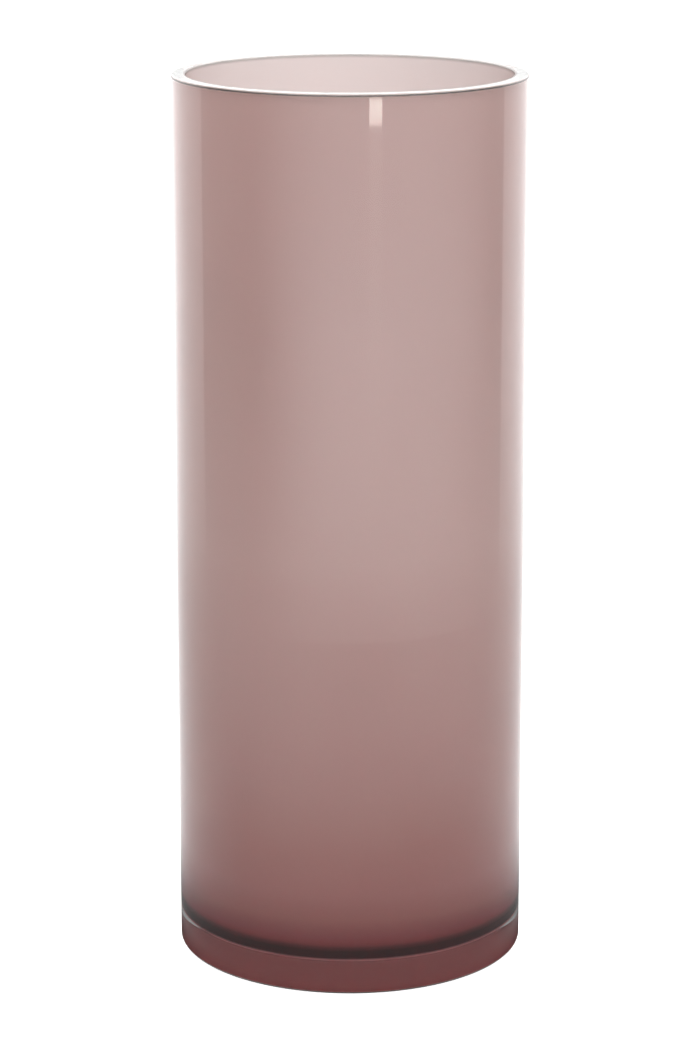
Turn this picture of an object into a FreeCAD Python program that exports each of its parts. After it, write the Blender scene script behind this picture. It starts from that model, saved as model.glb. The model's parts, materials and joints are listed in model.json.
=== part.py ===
import FreeCAD, Part

import os

# A cased glass cylinder vase. Thick clear glass outside is fused over a thin coloured glass cup inside.
# Millimetres, +Z up. The origin is the centre of the foot, on the surface that the vase stands on.

# Overall size
outer_diameter = 120.0
overall_height = 305.0

# Clear casing
casing_wall = 4.4
casing_base = 10.6
foot_edge_radius = 1.2
rim_edge_radius = 0.8

# Coloured lining, which covers the whole inside of the casing and is thicker where it pooled on the floor
lining_wall = 0.6
lining_floor = 5.0
lining_lip_radius = 0.3

# Rounded corners between wall and floor: where the two glasses meet, and inside the well
joint_heel_radius = 1.5
well_heel_radius = 3.0

# Sizes that follow from these
outer_radius = outer_diameter / 2
joint_radius = outer_radius - casing_wall
joint_floor = casing_base
well_radius = joint_radius - lining_wall
well_floor = joint_floor + lining_floor

axis_base = FreeCAD.Vector(0, 0, 0)
axis_direction = FreeCAD.Vector(0, 0, 1)
half_turn_root = 0.5 ** 0.5


def point(radius, z):
    """A point of a half profile, which lies in the XZ plane."""
    return FreeCAD.Vector(radius, 0, z)


def line(start, end):
    """A straight edge of a profile."""
    return Part.makeLine(point(*start), point(*end))


def quarter_arc(start, centre, end):
    """A rounded corner of a profile: the quarter circle from start to end around centre."""
    reach = half_turn_root * ((start[0] - centre[0]) + (end[0] - centre[0]))
    rise = half_turn_root * ((start[1] - centre[1]) + (end[1] - centre[1]))
    middle = point(centre[0] + reach, centre[1] + rise)
    return Part.Arc(point(*start), middle, point(*end)).toShape()


def turned(edges):
    """The solid that a closed half profile makes when it is turned once around the vase's axis."""
    face = Part.Face(Part.Wire(edges))
    solid = face.revolve(axis_base, axis_direction, 360)
    return solid


def joint_surface_profile():
    """Where casing and lining meet: across the floor, around the heel and up to the rim."""
    heel_start = (joint_radius - joint_heel_radius, joint_floor)
    heel_centre = (joint_radius - joint_heel_radius, joint_floor + joint_heel_radius)
    heel_end = (joint_radius, joint_floor + joint_heel_radius)
    return [
        line((0, joint_floor), heel_start),
        quarter_arc(heel_start, heel_centre, heel_end),
        line(heel_end, (joint_radius, overall_height)),
    ]


def make_clear_casing():
    """Clear outer wall and thick solid base, with a rounded foot and a rounded outer rim edge."""
    foot_start = (outer_radius - foot_edge_radius, 0)
    foot_centre = (outer_radius - foot_edge_radius, foot_edge_radius)
    foot_end = (outer_radius, foot_edge_radius)
    rim_start = (outer_radius, overall_height - rim_edge_radius)
    rim_centre = (outer_radius - rim_edge_radius, overall_height - rim_edge_radius)
    rim_end = (outer_radius - rim_edge_radius, overall_height)
    outside = [
        line((0, joint_floor), (0, 0)),
        line((0, 0), foot_start),
        quarter_arc(foot_start, foot_centre, foot_end),
        line(foot_end, rim_start),
        quarter_arc(rim_start, rim_centre, rim_end),
        line(rim_end, (joint_radius, overall_height)),
    ]
    return turned(joint_surface_profile() + outside)


def make_colour_lining():
    """Thin coloured cup that covers the casing's wall and floor on the inside, with a softened lip."""
    heel_start = (well_radius - well_heel_radius, well_floor)
    heel_centre = (well_radius - well_heel_radius, well_floor + well_heel_radius)
    heel_end = (well_radius, well_floor + well_heel_radius)
    lip_start = (well_radius, overall_height - lining_lip_radius)
    lip_centre = (well_radius + lining_lip_radius, overall_height - lining_lip_radius)
    lip_end = (well_radius + lining_lip_radius, overall_height)
    inside = [
        line((0, joint_floor), (0, well_floor)),
        line((0, well_floor), heel_start),
        quarter_arc(heel_start, heel_centre, heel_end),
        line(heel_end, lip_start),
        quarter_arc(lip_start, lip_centre, lip_end),
        line(lip_end, (joint_radius, overall_height)),
    ]
    return turned(joint_surface_profile() + inside)


def write_part(name, shape):
    """One STEP file for one piece."""
    shape.exportStep(os.path.join("parts", name + ".step"))


os.makedirs("parts", exist_ok=True)
write_part("clear_casing", make_clear_casing())
write_part("colour_lining", make_colour_lining())
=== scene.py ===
import json
import math

import bmesh
import bpy
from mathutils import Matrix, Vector


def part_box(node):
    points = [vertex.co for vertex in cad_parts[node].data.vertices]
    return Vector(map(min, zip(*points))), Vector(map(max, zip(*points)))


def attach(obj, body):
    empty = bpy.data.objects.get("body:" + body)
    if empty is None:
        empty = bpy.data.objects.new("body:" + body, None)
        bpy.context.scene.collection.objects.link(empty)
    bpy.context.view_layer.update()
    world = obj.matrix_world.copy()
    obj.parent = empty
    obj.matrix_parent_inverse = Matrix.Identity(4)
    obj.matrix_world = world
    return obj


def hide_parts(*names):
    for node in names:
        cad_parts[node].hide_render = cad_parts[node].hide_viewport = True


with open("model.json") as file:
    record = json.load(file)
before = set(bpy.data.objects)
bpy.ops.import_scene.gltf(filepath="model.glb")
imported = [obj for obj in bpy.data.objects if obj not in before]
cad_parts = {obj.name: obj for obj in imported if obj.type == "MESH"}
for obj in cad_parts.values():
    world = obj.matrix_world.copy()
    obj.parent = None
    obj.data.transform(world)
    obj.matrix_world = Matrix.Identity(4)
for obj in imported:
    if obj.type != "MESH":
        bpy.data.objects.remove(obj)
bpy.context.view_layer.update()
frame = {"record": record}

# A cased glass cylinder vase: thick clear glass over a thin mauve opal lining.
# Metres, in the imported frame: the foot's centre is the origin and +Z is up.

MM = 0.001
casing_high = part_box("clear_casing")[1]
lining_low, lining_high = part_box("colour_lining")
mounts = {mount["name"]: mount for mount in frame["record"]["mounts"]}
well = mounts["well"]["dims"]

# Sizes of the vase, read from the frame
outer_radius = casing_high.x
height = casing_high.z
joint_radius = lining_high.x
joint_floor = lining_low.z
well_radius = well["r_mm"] * MM
lip_radius = (joint_radius - well_radius) / 2
well_heel_top = height - lip_radius - well["length_mm"] * MM

# Sizes that the frame doesn't name
lining_floor = 5.0 * MM
joint_heel_radius = 1.5 * MM
foot_edge_radius = 1.2 * MM
rim_edge_radius = 0.8 * MM
# The fused surface is drawn once in each glass, this far apart
seam = 0.01 * MM
# Where each edge's arc of painted shade ends, in degrees up from level as seen from the arc's centre
foot_shade_end = -25
rim_shade_end = 38

# Mesh resolution
turn_steps = 256
arc_steps = 10
wall_steps = 48


# ---- Meshes ----

# A half profile is a list of runs. Each run is its material slot and its points,
# and each point is its radius, its height and the surface's normal there.

def straight(start, end, steps=1):
    """Points along a straight run of the half profile, solid on the left."""
    across, up = end[0] - start[0], end[1] - start[1]
    length = math.hypot(across, up)
    points = []
    for step in range(steps + 1):
        share = step / steps
        points.append((start[0] + across * share, start[1] + up * share, up / length, -across / length))
    return points


def arc(centre, radius, start_degrees, end_degrees):
    """Points of a round corner, from one angle to the other, solid on the left."""
    side = 1 if end_degrees > start_degrees else -1
    points = []
    for step in range(arc_steps + 1):
        angle = math.radians(start_degrees + (end_degrees - start_degrees) * step / arc_steps)
        across, up = math.cos(angle), math.sin(angle)
        points.append((centre[0] + radius * across, centre[1] + radius * up, side * across, side * up))
    return points


def turned_back(points):
    """The same run from its other end, with the solid on its other side."""
    return [(radius, z, -across, -up) for radius, z, across, up in reversed(points)]


def lathe(name, runs):
    """A closed mesh that a half profile makes when it turns around +Z. It starts and ends on the axis."""
    vertices, faces, slots, normals = [], [], [], []
    turns = [2 * math.pi * step / turn_steps for step in range(turn_steps)]
    rings = {}

    def ring(radius, z):
        key = (round(radius, 8), round(z, 8))
        if key not in rings:
            angles = turns if key[0] > 0 else turns[:1]
            rings[key] = range(len(vertices), len(vertices) + len(angles))
            vertices.extend((radius * math.cos(angle), radius * math.sin(angle), z) for angle in angles)
        return rings[key]

    for material_slot, points in runs:
        for low, high in zip(points, points[1:]):
            low_ring, high_ring = ring(low[0], low[1]), ring(high[0], high[1])
            for step in range(turn_steps):
                corners = [(low_ring, low, step), (low_ring, low, step + 1)]
                corners += [(high_ring, high, step + 1), (high_ring, high, step)]
                if len(low_ring) == 1:
                    del corners[1]
                if len(high_ring) == 1:
                    del corners[-1]
                faces.append([members[turn % len(members)] for members, point, turn in corners])
                slots.append(material_slot)
                for members, point, turn in corners:
                    angle = turns[turn % turn_steps]
                    normals.append((point[2] * math.cos(angle), point[2] * math.sin(angle), point[3]))
    mesh = bpy.data.meshes.new(name)
    mesh.from_pydata(vertices, [], faces)
    mesh.polygons.foreach_set("material_index", slots)
    mesh.polygons.foreach_set("use_smooth", [True] * len(faces))
    mesh.normals_split_custom_set(normals)
    piece = bpy.data.objects.new(name, mesh)
    bpy.context.scene.collection.objects.link(piece)
    return piece


def joint_run(inset):
    """The casing's side of the fused surface, from the rim down to the middle of the floor."""
    radius, floor = joint_radius - inset, joint_floor + inset
    heel = joint_heel_radius - inset
    run = straight((radius, height), (radius, floor + heel), wall_steps)
    run += arc((radius - heel, floor + heel), heel, 0, -90)[1:]
    run += straight((radius - heel, floor), (0, floor))[1:]
    return run


# The casing's material slots, in order
CLEAR, JOINT, EDGE_SHADE, RIM = range(4)


def make_casing():
    """Clear glass: foot, outer wall and rim, then down the fused surface."""
    foot_centre = (outer_radius - foot_edge_radius, foot_edge_radius)
    rim_centre = (outer_radius - rim_edge_radius, height - rim_edge_radius)
    foot = straight((0, 0), (foot_centre[0], 0))
    foot_edge = arc(foot_centre, foot_edge_radius, -90, foot_shade_end)
    outside = arc(foot_centre, foot_edge_radius, foot_shade_end, 0)
    outside += straight((outer_radius, foot_centre[1]), (outer_radius, rim_centre[1]), wall_steps)[1:]
    rim_edge = arc(rim_centre, rim_edge_radius, 0, rim_shade_end)
    top = arc(rim_centre, rim_edge_radius, rim_shade_end, 90)
    top += straight((rim_centre[0], height), (joint_radius, height))[1:]
    # The edge runs carry a nearly black painted shade, and the rim's top a grey one
    runs = [(CLEAR, foot), (EDGE_SHADE, foot_edge), (CLEAR, outside)]
    runs += [(EDGE_SHADE, rim_edge), (RIM, top), (JOINT, joint_run(0))]
    return lathe("casing_glass", runs)


# The lining's material slots, in order
INSIDE, FUSED = range(2)


def make_lining():
    """Mauve opal glass: the fused surface from the floor's middle to the rim, then down the inside."""
    well_floor = joint_floor + lining_floor
    inner_heel = well_heel_top - well_floor
    lip_centre = (well_radius + lip_radius, height - lip_radius)
    inside = straight((joint_radius - seam, height), (lip_centre[0], height))
    inside += arc(lip_centre, lip_radius, 90, 180)[1:]
    inside += straight((well_radius, lip_centre[1]), (well_radius, well_heel_top), wall_steps)[1:]
    inside += arc((well_radius - inner_heel, well_heel_top), inner_heel, 0, -90)[1:]
    inside += straight((well_radius - inner_heel, well_floor), (0, well_floor))[1:]
    return lathe("lining_glass", [(FUSED, turned_back(joint_run(seam))), (INSIDE, inside)])


# ---- Nodes ----

def emptied(tree, output_type="ShaderNodeOutputMaterial"):
    """A node tree's nodes and links, emptied, and a new output."""
    tree.nodes.clear()
    return tree.nodes, tree.links, tree.nodes.new(output_type)


def new_material(name):
    """A node material, its nodes and links, and its output."""
    material = bpy.data.materials.new(name)
    material.use_nodes = True
    return material, *emptied(material.node_tree)


def place_on_piece(nodes, links):
    """Where a point is on its own piece, and the same split into X, Y and Z."""
    place = nodes.new("ShaderNodeTexCoord")
    split = nodes.new("ShaderNodeSeparateXYZ")
    links.new(place.outputs["Object"], split.inputs["Vector"])
    return place.outputs["Object"], split.outputs


def ripple(nodes, links, stretch, scale, distance):
    """Noise, stretched by a factor along each axis, and the shallow bump that it makes."""
    spread = nodes.new("ShaderNodeMapping")
    spread.inputs["Scale"].default_value = stretch
    links.new(place_on_piece(nodes, links)[0], spread.inputs["Vector"])
    noise = nodes.new("ShaderNodeTexNoise")
    noise.inputs["Scale"].default_value = scale
    noise.inputs["Detail"].default_value = 2.0
    links.new(spread.outputs["Vector"], noise.inputs["Vector"])
    bump = nodes.new("ShaderNodeBump")
    bump.inputs["Distance"].default_value = distance
    links.new(noise.outputs["Fac"], bump.inputs["Height"])
    return noise.outputs["Fac"], bump.outputs["Normal"]


# Nearly all of the noise lies between these
noise_low = 0.3
noise_high = 0.7


def varied(nodes, links, noise, low, high):
    """A value that follows noise between two ends."""
    span = nodes.new("ShaderNodeMapRange")
    span.inputs["From Min"].default_value = noise_low
    span.inputs["From Max"].default_value = noise_high
    span.inputs["To Min"].default_value = low
    span.inputs["To Max"].default_value = high
    links.new(noise, span.inputs["Value"])
    return span.outputs["Result"]


def curve(nodes, links, value, span, stops):
    """A number that follows another in straight lines. Stops are (the other, this one)."""
    share = nodes.new("ShaderNodeMath")
    share.operation = "DIVIDE"
    share.use_clamp = True
    share.inputs[1].default_value = span
    links.new(value, share.inputs[0])
    level = nodes.new("ShaderNodeFloatCurve")
    points = level.mapping.curves[0].points
    most = max(number for at, number in stops)
    points[0].location = (stops[0][0] / span, stops[0][1] / most)
    points[1].location = (stops[-1][0] / span, stops[-1][1] / most)
    for at, number in stops[1:-1]:
        points.new(at / span, number / most)
    for point in points:
        point.handle_type = "VECTOR"
    level.mapping.update()
    links.new(share.outputs["Value"], level.inputs["Value"])
    return product(nodes, links, level.outputs["Value"], most)


def product(nodes, links, first, second):
    """A value times a number or another value."""
    result = nodes.new("ShaderNodeMath")
    result.operation = "MULTIPLY"
    links.new(first, result.inputs[0])
    if isinstance(second, (int, float)):
        result.inputs[1].default_value = second
    else:
        links.new(second, result.inputs[1])
    return result.outputs["Value"]


def lobe(nodes, links, vector, middle, edge, low, high, fade):
    """A value that rises from low to high as a vector's share along the middle one goes from edge to 1."""
    toward = nodes.new("ShaderNodeVectorMath")
    toward.operation = "DOT_PRODUCT"
    toward.inputs[1].default_value = middle
    links.new(vector, toward.inputs[0])
    rise = nodes.new("ShaderNodeMapRange")
    rise.interpolation_type = fade
    rise.inputs["From Min"].default_value = edge
    rise.inputs["From Max"].default_value = 1.0
    rise.inputs["To Min"].default_value = low
    rise.inputs["To Max"].default_value = high
    links.new(toward.outputs["Value"], rise.inputs["Value"])
    return rise.outputs["Result"]


def mixed(nodes, links, share, first, second):
    """Two shaders mixed: the second one's share is a number or a value."""
    both = nodes.new("ShaderNodeMixShader")
    if isinstance(share, (int, float)):
        both.inputs["Fac"].default_value = share
    else:
        links.new(share, both.inputs["Fac"])
    links.new(first, both.inputs[1])
    links.new(second, both.inputs[2])
    return both.outputs["Shader"]


def added(nodes, links, first, second):
    """Two shaders on top of each other."""
    both = nodes.new("ShaderNodeAddShader")
    links.new(first, both.inputs[0])
    links.new(second, both.inputs[1])
    return both.outputs["Shader"]


def emission(nodes, links, strength, node_type="ShaderNodeEmission"):
    """A white glow, as a node of the type given. Its strength is a number or a value."""
    glow = nodes.new(node_type)
    if isinstance(strength, (int, float)):
        glow.inputs["Strength"].default_value = strength
    else:
        links.new(strength, glow.inputs["Strength"])
    return glow


# ---- Glass ----

glass_ior = 1.5
tall_ripple = (1.0, 1.0, 0.35)
even_ripple = (1.0, 1.0, 1.0)

# The lining's colour and painted shade by height: (height above the table in mm, what it scatters back, what
# it lets through)
INSIDE_TINT_AND_SHADE = [
    (0, (0.93, 0.90, 0.89), (0.95, 0.93, 0.92)),
    (304.3, (0.93, 0.90, 0.89), (0.95, 0.93, 0.92)),
    # From 304.6 mm up, a grey band of painted shade for the dark line under the rim
    (304.6, (0.45, 0.44, 0.43), (0.45, 0.44, 0.43)),
    (305, (0.45, 0.44, 0.43), (0.45, 0.44, 0.43)),
]
# Over the mauve tint this table paints light and shade: lightest near 150 mm and darker towards the floor,
# then nearly black from 10.9 to 14.8 mm, painted shade for the dark line at the heel. Below 10.7 mm it is a
# lighter red.
FUSED_TINT_AND_SHADE = [
    (0, (0.95, 0.44, 0.45), (0.95, 0.44, 0.45)),
    (10.7, (0.95, 0.44, 0.45), (0.95, 0.44, 0.45)),
    (10.9, (0.05, 0.01, 0.01), (0.05, 0.01, 0.01)),
    (14.8, (0.05, 0.01, 0.01), (0.05, 0.01, 0.01)),
    (17, (0.30, 0.08, 0.09), (0.30, 0.03, 0.03)),
    (25, (0.43, 0.20, 0.19), (0.43, 0.10, 0.10)),
    (34, (0.50, 0.27, 0.26), (0.50, 0.16, 0.15)),
    (60, (0.54, 0.33, 0.31), (0.54, 0.24, 0.22)),
    (150, (0.62, 0.45, 0.43), (0.62, 0.40, 0.36)),
    (234, (0.55, 0.38, 0.36), (0.55, 0.34, 0.31)),
    (305, (0.56, 0.38, 0.36), (0.56, 0.34, 0.31)),
]


def make_clear_material(name, colour, transmission, ripples, roughness):
    """Clear or tinted glass. Ripples are what ripple takes, and roughness is its lowest and highest value."""
    material, nodes, links, output = new_material(name)
    glass = nodes.new("ShaderNodeBsdfPrincipled")
    glass.inputs["Base Color"].default_value = (*colour, 1)
    glass.inputs["Transmission Weight"].default_value = transmission
    glass.inputs["IOR"].default_value = glass_ior
    noise, bump = ripple(nodes, links, *ripples)
    links.new(varied(nodes, links, noise, *roughness), glass.inputs["Roughness"])
    links.new(bump, glass.inputs["Normal"])
    links.new(glass.outputs["BSDF"], output.inputs["Surface"])
    return material


def make_clear_glass():
    """Polished soda-lime glass with the slight waviness of a blown wall."""
    ripples = (tall_ripple, 28.0, 0.04 * MM)
    return make_clear_material("clear_glass", (0.985, 0.99, 0.98), 1.0, ripples, (0.0, 0.03))


def make_rim_polish_and_shade():
    """The ground and polished top of the wall, faintly speckled. Its grey tint is painted shade for the grey
    that refraction gives the ring.
    """
    ripples = (even_ripple, 500.0, 0.01 * MM)
    return make_clear_material("rim_polish_and_shade", (0.8, 0.81, 0.78), 0.8, ripples, (0.05, 0.2))


def make_painted_edge_shade():
    """Painted shade on the rounded edges of the rim and the foot: a nearly black tint for the dark lines that
    refraction and reflection give there.
    """
    ripples = (even_ripple, 300.0, 0.01 * MM)
    return make_clear_material("painted_edge_shade", (0.06, 0.055, 0.05), 0.4, ripples, (0.1, 0.25))


def make_fused_joint():
    """The casing's side of the fused surface, which reflects and bends nothing."""
    material, nodes, links, output = new_material("fused_joint")
    clear = nodes.new("ShaderNodeBsdfTransparent")
    links.new(clear.outputs["BSDF"], output.inputs["Surface"])
    return material


def level_colours(nodes, links, levels):
    """Two colours that change with height: what the lining scatters back, and what it lets through."""
    level = nodes.new("ShaderNodeMapRange")
    level.inputs["From Min"].default_value = 0.0
    level.inputs["From Max"].default_value = height
    links.new(place_on_piece(nodes, links)[1]["Z"], level.inputs["Value"])
    colours = []
    for side in (1, 2):
        ramp = nodes.new("ShaderNodeValToRGB")
        bands = ramp.color_ramp.elements
        bands[0].color = (*levels[0][side], 1)
        bands[1].color = (*levels[-1][side], 1)
        for row in levels[1:-1]:
            bands.new(row[0] * MM / height).color = (*row[side], 1)
        links.new(level.outputs["Result"], ramp.inputs["Fac"])
        colours.append(ramp.outputs["Color"])
    return colours


def make_opal_inside():
    """The lining's free surface, smooth glass that light passes through softly, with a grey band of painted
    shade at the lip.
    """
    material, nodes, links, output = new_material("mauve_opal_inside")
    back_colour, through_colour = level_colours(nodes, links, INSIDE_TINT_AND_SHADE)
    noise, bump = ripple(nodes, links, tall_ripple, 24.0, 0.06 * MM)
    surface = nodes.new("ShaderNodeBsdfPrincipled")
    surface.inputs["IOR"].default_value = glass_ior
    links.new(varied(nodes, links, noise, 0.14, 0.26), surface.inputs["Roughness"])
    links.new(bump, surface.inputs["Normal"])
    links.new(back_colour, surface.inputs["Base Color"])
    through = nodes.new("ShaderNodeBsdfTranslucent")
    links.new(through_colour, through.inputs["Color"])
    both = mixed(nodes, links, 0.5, surface.outputs["BSDF"], through.outputs["BSDF"])
    links.new(both, output.inputs["Surface"])
    return material


def make_opal_fused():
    """The lining's fused side, where the colour shows, faintly cloudy. Its colour is mauve tint with painted
    light and shade: darker towards the floor, and a nearly black ring at the heel.
    """
    material, nodes, links, output = new_material("mauve_opal_fused")
    back_colour, through_colour = level_colours(nodes, links, FUSED_TINT_AND_SHADE)
    noise, bump = ripple(nodes, links, (1.0, 1.0, 0.3), 40.0, 0.05 * MM)
    surface = nodes.new("ShaderNodeBsdfDiffuse")
    surface.inputs["Roughness"].default_value = 0.2
    links.new(bump, surface.inputs["Normal"])
    links.new(back_colour, surface.inputs["Color"])
    through = nodes.new("ShaderNodeBsdfTranslucent")
    links.new(through_colour, through.inputs["Color"])
    cloud = varied(nodes, links, noise, 0.47, 0.53)
    both = mixed(nodes, links, cloud, surface.outputs["BSDF"], through.outputs["BSDF"])
    links.new(both, output.inputs["Surface"])
    return material


def make_vase():
    """Both layers of glass, each in the place of its CAD node."""
    layers = (
        (make_casing(), "clear_casing", "clear_glass",
            (make_clear_glass(), make_fused_joint(), make_painted_edge_shade(), make_rim_polish_and_shade())),
        (make_lining(), "colour_lining", "mauve_glass", (make_opal_inside(), make_opal_fused())),
    )
    for piece, node, slot, materials in layers:
        for material in materials:
            piece.data.materials.append(material)
        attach(piece, "root")
        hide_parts(node)


# ---- Studio ----

# Brightness of plain white is 1
white_strength = 1.1
key_direction = Vector((0.1, -0.4, 0.9)).normalized()
key_edge = 0.2
key_strength = 4.5
surround_strength = 0.4

floor_radius = 30
floor_drop = 0.2 * MM
floor_colour = 0.8
floor_lift = 0.7
floor_dim = 0.35
# How bright the floor is where the glass mirrors it: (metres from the vase's middle, brightness).
# It stays the same beyond the reach.
mirrored_floor_reach = 1.0
FLOOR_FRONT = [
    (0, 0.05), (0.062, 0.05), (0.07, 0.5), (0.1, 0.55), (0.2, 0.85),
    (0.27, 1.4), (0.35, 1.6), (0.45, 1.6), (0.55, 1.4), (1.0, 1.4),
]
FLOOR_BACK = [
    (0, 0.05), (0.062, 0.05), (0.07, 0.25), (0.08, 0.25),
    (0.11, 0.8), (0.14, 1.2), (0.2, 1.4), (1.0, 1.35),
]
# The front's floor gives way to the back's between these, in metres along Y
floor_front_end = -0.15
floor_back_start = 0.05

backdrop_distance = 29.9
backdrop_height = 14
# How bright the backdrop is where the glass mirrors it: (height in metres, brightness)
BACKDROP_GLOW = [(0, 1.35), (2, 1.2), (5, 0.8), (9, 0.5), (14, 0.4)]

# Cards that only the glass mirrors. Degrees run from the front to the vase's right,
# and each glow is (height in metres, brightness).
card_height = 0.6
card_step_degrees = 2
wall_distance = 0.5
wall_start = -250
wall_end = -104
WALL_GLOW = [
    (0, 0.0), (0.06, 0.4), (0.15, 0.75), (0.29, 0.75),
    (0.325, 0.12), (0.364, 0.12), (0.371, 1.4), (0.6, 1.4),
]
box_distance = 0.48
box_start = -63
box_end = 129
box_middle = math.radians(22)
# The box's glow rises from nothing at this share of the reach, measured towards its middle, to all of it
box_edge = 0.05
box_reach = 0.5
BOX_GLOW = [(0, 0.5), (0.06, 1.6), (0.15, 2.55), (0.2, 2.3), (0.25, 2.0), (0.32, 1.2), (0.6, 0.0)]
lamp_distance = 0.46
lamp_start = 11.4
lamp_end = 18.8
lamp_colour = (1.0, 0.97, 0.88)
LAMP_GLOW = [
    (0, 0.0), (0.04, 0.1), (0.15, 0.3), (0.241, 0.6),
    (0.2445, 8.5), (0.253, 9.5), (0.255, 0.0), (0.6, 0.0),
]


def by_ray(nodes, links, kind, others, theirs):
    """One shader for rays of one kind, and another for all others."""
    path = nodes.new("ShaderNodeLightPath")
    return mixed(nodes, links, path.outputs[kind], others, theirs)


def plain_card(nodes, brightness):
    """A matt neutral surface."""
    matt = nodes.new("ShaderNodeBsdfDiffuse")
    matt.inputs["Color"].default_value = (brightness, brightness, brightness, 1)
    return matt.outputs["BSDF"]


def add_to_stage(name, shape, material):
    """An object for the stage, from a bmesh."""
    mesh = bpy.data.meshes.new(name)
    shape.to_mesh(mesh)
    shape.free()
    mesh.materials.append(material)
    prop = bpy.data.objects.new(name, mesh)
    bpy.context.scene.collection.objects.link(prop)
    return prop


def make_floor():
    """A wide pale floor, darker where it lights the glass and shaded close to the vase in mirrors."""
    material, nodes, links, output = new_material("floor")
    place, split = place_on_piece(nodes, links)
    reach = nodes.new("ShaderNodeVectorMath")
    reach.operation = "LENGTH"
    links.new(place, reach.inputs[0])
    behind = nodes.new("ShaderNodeMapRange")
    behind.interpolation_type = "SMOOTHSTEP"
    behind.inputs["From Min"].default_value = floor_front_end
    behind.inputs["From Max"].default_value = floor_back_start
    links.new(split["Y"], behind.inputs["Value"])
    around = nodes.new("ShaderNodeMix")
    links.new(behind.outputs["Result"], around.inputs["Factor"])
    for socket, stops in (("A", FLOOR_FRONT), ("B", FLOOR_BACK)):
        brightness = curve(nodes, links, reach.outputs["Value"], mirrored_floor_reach, stops)
        links.new(brightness, around.inputs[socket])
    mirrored = emission(nodes, links, around.outputs["Result"]).outputs["Emission"]
    lift = emission(nodes, links, floor_lift).outputs["Emission"]
    seen = added(nodes, links, plain_card(nodes, floor_colour), lift)
    unseen = by_ray(nodes, links, "Is Glossy Ray", plain_card(nodes, floor_dim), mirrored)
    links.new(by_ray(nodes, links, "Is Camera Ray", unseen, seen), output.inputs["Surface"])
    shape = bmesh.new()
    bmesh.ops.create_circle(shape, cap_ends=True, segments=180, radius=floor_radius)
    floor = add_to_stage("floor", shape, material)
    floor.location.z = -floor_drop


def curved_card(name, distance, start_degrees, end_degrees, bottom, top, material):
    """A card curved around the vase."""
    shape = bmesh.new()
    columns = []
    count = max(2, round((end_degrees - start_degrees) / card_step_degrees))
    for step in range(count + 1):
        angle = math.radians(start_degrees + (end_degrees - start_degrees) * step / count)
        x, y = distance * math.sin(angle), -distance * math.cos(angle)
        columns.append([shape.verts.new((x, y, z)) for z in (bottom, top)])
    for left, right in zip(columns, columns[1:]):
        shape.faces.new([left[0], right[0], right[1], left[1]])
    return add_to_stage(name, shape, material)


def make_backdrop():
    """A far white wall around the floor, so that no horizon shows. In the glass it fades with height."""
    material, nodes, links, output = new_material("backdrop")
    level = place_on_piece(nodes, links)[1]["Z"]
    mirrored = emission(nodes, links, curve(nodes, links, level, backdrop_height, BACKDROP_GLOW))
    white = emission(nodes, links, white_strength)
    seen = by_ray(nodes, links, "Is Camera Ray", mirrored.outputs["Emission"], white.outputs["Emission"])
    links.new(seen, output.inputs["Surface"])
    backdrop = curved_card("backdrop", backdrop_distance, -180, 180, -MM, backdrop_height, material)
    backdrop.visible_diffuse = False
    backdrop.visible_transmission = False


def make_mirrored_card(name, distance, start_degrees, end_degrees, stops, colour=(1, 1, 1), centred=None):
    """A clear curved card that glows by height and only shows where the glass mirrors it. One that is
    centred, on a middle direction and an edge, also fades towards its sides."""
    material, nodes, links, output = new_material(name)
    place, split = place_on_piece(nodes, links)
    strength = curve(nodes, links, split["Z"], card_height, stops)
    if centred:
        middle, edge = centred
        share = lobe(nodes, links, place, middle, edge, 0, 1, "SMOOTHSTEP")
        strength = product(nodes, links, strength, share)
    glow = emission(nodes, links, strength)
    glow.inputs["Color"].default_value = (*colour, 1)
    clear = nodes.new("ShaderNodeBsdfTransparent")
    both = added(nodes, links, clear.outputs["BSDF"], glow.outputs["Emission"])
    links.new(both, output.inputs["Surface"])
    card = curved_card(name, distance, start_degrees, end_degrees, 0.0, card_height, material)
    card.visible_camera = False
    card.visible_diffuse = False
    card.visible_transmission = False


def make_cards():
    """A light wall behind, a broad soft box in front and to the right, and a small lamp with a weak strip."""
    make_mirrored_card("light_wall", wall_distance, wall_start, wall_end, WALL_GLOW)
    middle = (math.sin(box_middle) / box_reach, -math.cos(box_middle) / box_reach, 0)
    make_mirrored_card("soft_box", box_distance, box_start, box_end, BOX_GLOW, centred=(middle, box_edge))
    make_mirrored_card("lamp", lamp_distance, lamp_start, lamp_end, LAMP_GLOW, colour=lamp_colour)


def make_world():
    """Soft neutral light from everywhere, strongest from above and in front, with a white surround."""
    world = bpy.data.worlds.new("studio")
    world.use_nodes = True
    nodes, links, output = emptied(world.node_tree, "ShaderNodeOutputWorld")
    place = nodes.new("ShaderNodeTexCoord").outputs["Generated"]
    light = (surround_strength, key_strength)
    strength = lobe(nodes, links, place, key_direction, key_edge, *light, "SMOOTHERSTEP")
    soft = emission(nodes, links, strength, "ShaderNodeBackground")
    white = emission(nodes, links, white_strength, "ShaderNodeBackground")
    seen = by_ray(nodes, links, "Is Camera Ray", soft.outputs["Background"], white.outputs["Background"])
    links.new(seen, output.inputs["Surface"])
    bpy.context.scene.world = world


# ---- Camera ----

camera_distance = 1.110
camera_height = 0.433
camera_pitch = 14.35
camera_lens = 113.657
camera_sensor = 36


def make_camera():
    """In front of the vase and above its rim, looking down at its middle."""
    data = bpy.data.cameras.new("camera")
    data.sensor_width = camera_sensor
    data.lens = camera_lens
    camera = bpy.data.objects.new("camera", data)
    camera.location = (0, -camera_distance, camera_height)
    camera.rotation_euler = (math.radians(90 - camera_pitch), 0, 0)
    bpy.context.scene.collection.objects.link(camera)
    bpy.context.scene.camera = camera


make_vase()
make_floor()
make_backdrop()
make_cards()
make_world()
make_camera()
bpy.context.scene.view_settings.view_transform = "Standard"
